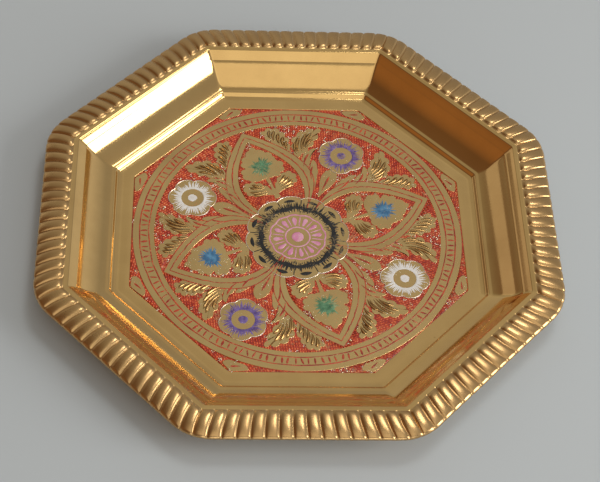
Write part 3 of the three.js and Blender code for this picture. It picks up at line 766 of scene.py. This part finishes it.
def bead(path, width, closed=False, low=LINE_LOW, crown=LINE_CROWN):
    """Lacquer bead along a path: at each point the section lies square to the path's direction."""
    if closed:
        run = np.roll(path, -1, axis=0) - np.roll(path, 1, axis=0)
    else:
        run = np.gradient(path, axis=0)
    across = np.stack([-run[:, 1], run[:, 0]], -1) / np.linalg.norm(run, axis=1, keepdims=True)
    width = np.broadcast_to(width, len(path))[:, None, None]
    plan = path[:, None] + 0.5 * width * LENS[:, 0][:, None] * across[:, None]
    return carried(raised(plan, low + crown * LENS[:, 1]), closed)


def hand_cut(count, size, knots=4):
    """Slow random wander of a hand tool: random values every few steps, and straight lines between."""
    coarse = rng.normal(0, size, count // knots + 3)
    return np.interp(np.arange(count) / knots, np.arange(len(coarse)), coarse)


line_turns = np.linspace(0, 2 * math.pi, 360, endpoint=False)
for name, radius in (("outer", 0.622), ("inner", 0.586)):
    wander = hand_cut(360, 0.0008)
    line = bead(set_out(arc(radius + wander, line_turns)), (0.72 + hand_cut(360, 0.12)) * MM, closed=True)
    make_piece(f"ladder_red_{name}", [line], line_red, "lacquer_red", f"ladder_line_{name}")

RUNGS = 148
rung_turns = (np.arange(RUNGS) + rng.uniform(-0.13, 0.13, RUNGS)) * 2 * math.pi / RUNGS
lean = rng.normal(0, 0.006, RUNGS)
rungs = strokes(set_out(arc(0.587, rung_turns - lean)), set_out(arc(0.621, rung_turns + lean)),
                rng.uniform(0.90, 1.40, RUNGS) * MM, LINE_LOW, LINE_CROWN, CUT, LENS)
make_piece("ladder_rungs", [rungs], line_red, "lacquer_red")

for number, turn in enumerate(PETAL_TURNS, 1):
    path = curve_through(set_out(both_sides(LINE_SIDE), turn), 2)
    path = path + np.stack([hand_cut(len(path), 0.10 * MM, 2), hand_cut(len(path), 0.10 * MM, 2)], -1)
    line = bead(path, (0.62 + hand_cut(len(path), 0.12, 2)) * MM)
    make_piece(f"petal_red_line_{number}", [line], line_red, "lacquer_red", f"petal_line_{number}")
    path = set_out(both_sides(FRAME_SIDE), turn)
    edge = bead(path, (0.50 + hand_cut(len(path), 0.08, 2)) * MM)
    make_piece(f"petal_edge_line_{number}", [edge], line_red, "lacquer_red")

# ---- The cuts in the leaves -----------------------------------------------------------------------
# The large leaves and those beside the buds have fans of bare cuts, made with a rocking graver, that flash
# as the tray turns.  Each lies on a wider stroke of dark brass, painted shade that stands for the walls of
# its groove.  The small leaves, the bulbs and the corner leaves have one cut each, filled with red.

DROP = np.array([0, 0.42, 0.62, 0.82, 1, 0.85, 0])           # width along a cut that swells to its end
FAN_OUT = [((0.372, 0.160), (0.436, 0.193)), ((0.380, 0.154), (0.470, 0.190)),
           ((0.392, 0.149), (0.497, 0.172)), ((0.402, 0.143), (0.508, 0.152)),
           ((0.412, 0.138), (0.478, 0.136))]
FAN_UP = [((0.378, 0.200), (0.424, 0.226)), ((0.384, 0.220), (0.440, 0.249)),
          ((0.390, 0.242), (0.449, 0.272)), ((0.397, 0.265), (0.451, 0.292)),
          ((0.405, 0.288), (0.444, 0.309))]
FAN_BUD = [((0.229, 0.026), (0.241, 0.088)), ((0.240, 0.026), (0.261, 0.096)),
           ((0.251, 0.026), (0.280, 0.090)), ((0.261, 0.027), (0.291, 0.074))]
SMALL_CUTS = [((0.262, 0.049), (0.345, 0.080)), ((0.315, 0.103), (0.400, 0.118))]
BULB_CUT = [((0.235, 0.0), (0.322, 0.001))]
CORNER_CUT = [((0.664, 0.036), (0.684, -0.009))]


def cut_ends(cuts, turn, bows=(0.0,)):
    """Starts and ends of cuts given as plan points, set out in metres, and their bows."""
    cuts = np.asarray(cuts, float)
    return set_out(cuts[:, 0], turn), set_out(cuts[:, 1], turn), bows


def fan(cuts, turn, index=None):
    """A set of cuts and the same on the other hand, each a little off its place, bowed away from each
    other.  With an index they are spread with the leaves of that gap."""
    cuts = np.asarray(cuts, float)
    cuts = np.concatenate([cuts, cuts * (1, -1)])
    cuts = cuts + rng.normal(0, 0.0016, cuts.shape)
    if index is not None:
        cuts = spread(cuts, index)
    return cut_ends(cuts, turn, np.repeat([0.10, -0.10], len(cuts) // 2))


bare_cuts, red_cuts = [], []
for index, turn in enumerate(FLOWER_TURNS):
    bare_cuts += [fan(FAN_OUT, turn, index), fan(FAN_UP, turn, index)]
    red_cuts += [fan(SMALL_CUTS, turn, index), cut_ends(BULB_CUT, turn)]
bare_cuts += [fan(FAN_BUD, turn) for turn in PETAL_TURNS]
red_cuts += [cut_ends(CORNER_CUT, turn) for turn in CORNER_TURNS]
bare_starts, bare_ends, bare_bows = (np.concatenate(part) for part in zip(*bare_cuts))
red_starts, red_ends, red_bows = (np.concatenate(part) for part in zip(*red_cuts))
bare_width = rng.uniform(1.0, 1.5, len(bare_starts)) * MM
bare_crown = rng.uniform(0.10, 0.22, len(bare_starts)) * MM
flash_brass = brass_finish("flash_brass", (0.86, 0.56, 0.23), (0.58, 0.32, 0.10), 0.5, 0.12, 0.25, 0.2)
# dark brass under each bare cut: painted shade standing for the walls of its groove
groove_shade_brass = brass_finish("groove_shade_brass", (0.34, 0.19, 0.075), (0.20, 0.10, 0.035), 0.5, 0.30, 0.45, 0.2)
cut_shades = strokes(bare_starts, bare_ends, bare_width + 0.55 * MM, LINE_LOW, 0.045 * MM, DROP, LENS,
                    bare_bows)
flashes = strokes(bare_starts, bare_ends, bare_width, LINE_LOW, bare_crown, DROP, RIDGE, bare_bows)
red_strokes = strokes(red_starts, red_ends, 1.1 * MM, LINE_LOW, LINE_CROWN, DROP, LENS, red_bows)
make_piece("leaf_cut_shades", [cut_shades], groove_shade_brass, "brass")
make_piece("leaf_cuts", [flashes], flash_brass, "brass")
make_piece("chisel_glints", [np.concatenate(glints)], flash_brass, "brass")
make_piece("red_leaf_cuts", [red_strokes], line_red, "lacquer_red")

# ---- The coloured flowers -------------------------------------------------------------------------
# Purple and white round flowers: a thick feathered ring of fine radial cuts round a bare ring, with a
# dot in the middle.  The buds in the petals have a burst of blue or green cuts.

purple = lacquer_finish("purple_lacquer", (0.11, 0.06, 0.27), (0.25, 0.17, 0.50), 0.35)
white = lacquer_finish("white_lacquer", (0.90, 0.89, 0.86), (1.0, 1.0, 1.0), 0.12)
blue = lacquer_finish("blue_lacquer", (0.04, 0.16, 0.34), (0.12, 0.34, 0.58), 0.35)
green = lacquer_finish("green_lacquer", (0.05, 0.17, 0.08), (0.16, 0.38, 0.20), 0.35)
FLOWER_FINISHES = ((purple, "lacquer_purple", 0.0830), (white, "lacquer_white", 0.0840))
HAIR = np.array([0, 1, 0.92, 0.7, 0.4, 0])                   # width along a cut that starts broad


def feathers(centre, near, far, count, width, uneven, low=LINE_LOW):
    """Fine radial cuts round a centre, from the near radius to a far radius that varies from cut to cut."""
    turns = (np.arange(count) + rng.uniform(-0.35, 0.35, count)) * 2 * math.pi / count
    reach = far * (1 + rng.uniform(-uneven, uneven, count))
    start = near * (1 + rng.uniform(-0.05, 0.05, count))
    width = width * rng.uniform(0.8, 1.25, count)
    return strokes((centre + arc(start, turns)) * half, (centre + arc(reach, turns)) * half, width, low,
                   0.05 * MM, HAIR, LENS)


def disc(centre, outer, uneven, low=LINE_LOW, crown=LINE_CROWN):
    """Small domed pool of lacquer with a slightly uneven edge."""
    turns = np.linspace(0, 2 * math.pi, 48, endpoint=False)
    edge = outer * (1 + uneven * rng.uniform(-1, 1, len(turns)))
    scale = np.array([0, 0.5, 0.85, 1, 0])[:, None, None]
    level = low + crown * np.array([1, 0.9, 0.55, 0, -0.5])
    return raised((centre + arc(edge, turns) * scale) * half, level[:, None])


for index, turn in enumerate(FLOWER_TURNS):
    colour, slot, reach = FLOWER_FINISHES[index % 2]
    middle = set_out((FLOWER_REACH[index], 0.0), turn) / half
    ring_path = (middle + arc(0.0500, flower_turns)) * half
    fringe = [bead(ring_path, 0.0120 * half, closed=True, crown=0.05 * MM),
              feathers(middle, 0.043, reach, 66, 0.80 * MM, 0.16)]
    eye = disc(middle, 0.0195, 0.08)
    make_piece(f"flower_ring_{index + 1}", fringe, colour, slot, f"flower_fringe_{index + 1}")
    make_piece(f"flower_eye_{index + 1}", [eye], colour, slot, f"flower_dot_{index + 1}")

for index, turn in enumerate(PETAL_TURNS):
    colour, hue = ((blue, "blue"), (green, "green"))[index % 2]
    middle = set_out((0.364, 0.0), turn) / half
    burst = [feathers(middle, 0.004, 0.048, 56, 0.95 * MM, 0.36), disc(middle, 0.026, 0.3)]
    make_piece(f"bud_{hue}_{index + 1}", burst, colour, f"lacquer_{hue}", f"bud_burst_{index + 1}")

# ---- The rosette ----------------------------------------------------------------------------------
# Twelve scalloped lobes round a black feathered ring, a scalloped bare ring, and a pink wheel of twelve
# blades and twelve lines round a pink dot.  It was set out by eye, a little below the centre.

ROSETTE = np.array([-0.002, -0.021])
LOBES = 12
LOBE_OFFSET = math.radians(24)
black = lacquer_finish("black_lacquer", (0.006, 0.006, 0.007), (0.020, 0.019, 0.018), 0.30)
pink = lacquer_finish("pink_lacquer", (0.78, 0.26, 0.48), (0.92, 0.48, 0.66), 0.12)
ROSETTE_LOW = LINE_LOW + 0.004 * MM
BLACK_OUT = 0.155                        # outer radius of the solid black ring


def on_rosette(radius, turns):
    """Points at a radius round the rosette's middle, in metres."""
    return (ROSETTE + arc(radius, turns)) * half


def radial(near, far, turns, width, crown=LINE_CROWN, taper=CUT):
    """Strokes of the rosette from a near radius to a far one."""
    return strokes(on_rosette(near, turns), on_rosette(far, turns), width, ROSETTE_LOW, crown, taper, LENS)


rosette_turns = np.linspace(0, 2 * math.pi, 240, endpoint=False)
lobed = np.abs(np.sin(LOBES / 2 * (rosette_turns - LOBE_OFFSET))) ** 0.6
rosette_edge = on_rosette(0.1900 + 0.0150 * lobed, rosette_turns)
make_piece("rosette_disc", [island(rosette_edge, FLOOR_TOP + 0.004 * MM)], cut_brass, "brass", "tray_body")

spokes = np.arange(LOBES) * 2 * math.pi / LOBES + LOBE_OFFSET
inner_edge = 0.1280 + 0.0100 * np.abs(np.sin(5 * rosette_turns))
black_path = on_rosette((inner_edge + BLACK_OUT) / 2, rosette_turns)
black_ring = [bead(black_path, (BLACK_OUT - inner_edge) * half, True, ROSETTE_LOW, 0.05 * MM),
              feathers(ROSETTE, 0.146, 0.1710, 130, 0.85 * MM, 0.07, ROSETTE_LOW),
              feathers(ROSETTE, 0.140, 0.1220, 96, 0.70 * MM, 0.04, ROSETTE_LOW)]
dividers = [radial(0.150, 0.197, spokes, 0.65 * MM), radial(0.113, 0.133, spokes, 0.40 * MM)]
reach = math.radians(8.5)                # half the length of a crescent
lobe_turns = spokes + math.pi / LOBES
crescents = strokes(on_rosette(0.1800, lobe_turns - reach), on_rosette(0.1800, lobe_turns + reach),
                    rng.uniform(1.7, 2.4, LOBES) * MM, ROSETTE_LOW, 0.06 * MM, CUT, LENS, -0.06)
make_piece("rosette_black", black_ring + dividers + [crescents], black, "lacquer_black",
           "rosette_black_fill")

blade_turns = spokes - math.radians(16)
line_turns = blade_turns + math.pi / LOBES
blades = radial(0.053, 0.099, blade_turns, rng.uniform(2.2, 2.9, LOBES) * MM, 0.07 * MM, DROP)
wheel_lines = radial(0.050, 0.107, line_turns, 0.75 * MM)
hub = bead(on_rosette(0.0480, rosette_turns), 0.80 * MM, True, ROSETTE_LOW)
make_piece("rosette_wheel", [blades, wheel_lines, hub], pink, "lacquer_pink", "rosette_pink_wheel")
scallops = 0.1060 + 0.0050 * np.abs(np.sin(LOBES / 2 * (rosette_turns - blade_turns[0] - math.pi / LOBES)))
outline = bead(on_rosette(scallops, rosette_turns), 0.80 * MM, True, ROSETTE_LOW)
make_piece("rosette_outline", [outline], pink, "lacquer_pink", "rosette_pink_line")
eye = disc(ROSETTE, 0.0250, 0.04, ROSETTE_LOW, 0.06 * MM)
make_piece("rosette_eye", [eye], pink, "lacquer_pink", "rosette_pink_dot")

# ---- The burrs ------------------------------------------------------------------------------------
# Steep little burrs that the chisel threw up between its cuts and along the outlines it followed.  They
# catch the light, and their brass is also painted nearly white, a painted highlight, so they show as white
# sparks and thin lines.

# near-white brass: a painted highlight, so the burrs and outline beads show white
burr_highlight_brass = brass_finish("burr_highlight_brass", (1.0, 0.92, 0.80), (0.92, 0.78, 0.58), 0.3, 0.24, 0.36, 0.2)
thrown = np.concatenate([grid[:, 2].mean(1) for grid in glints])[:, :2]
thrown = np.concatenate([thrown + rng.normal(0, 0.45 * MM, thrown.shape) for _ in range(4)])
lie = rng.normal(0.8, 0.45, len(thrown))
burr_run = rng.uniform(0.6, 1.3, len(thrown))[:, None] * MM * np.stack([np.cos(lie), np.sin(lie)], -1)
burrs = [strokes(thrown - 0.5 * burr_run, thrown + 0.5 * burr_run, 0.36 * MM, LACQUER_TOP + 0.02 * MM,
                 rng.uniform(0.08, 0.15, len(thrown)) * MM, SHORT_CUT, RIDGE),
         bead(rosette_edge, (0.42 + hand_cut(240, 0.10)) * MM, True, LINE_LOW, 0.13 * MM)]
for index, turn in enumerate(FLOWER_TURNS):
    edge = set_out(arc(flower_edge - 0.001, flower_turns) + (FLOWER_REACH[index], 0), turn)
    burrs.append(bead(edge, (0.38 + hand_cut(120, 0.10)) * MM, True, LINE_LOW, 0.12 * MM))
make_piece("chisel_burr_highlights", burrs, burr_highlight_brass, "brass")
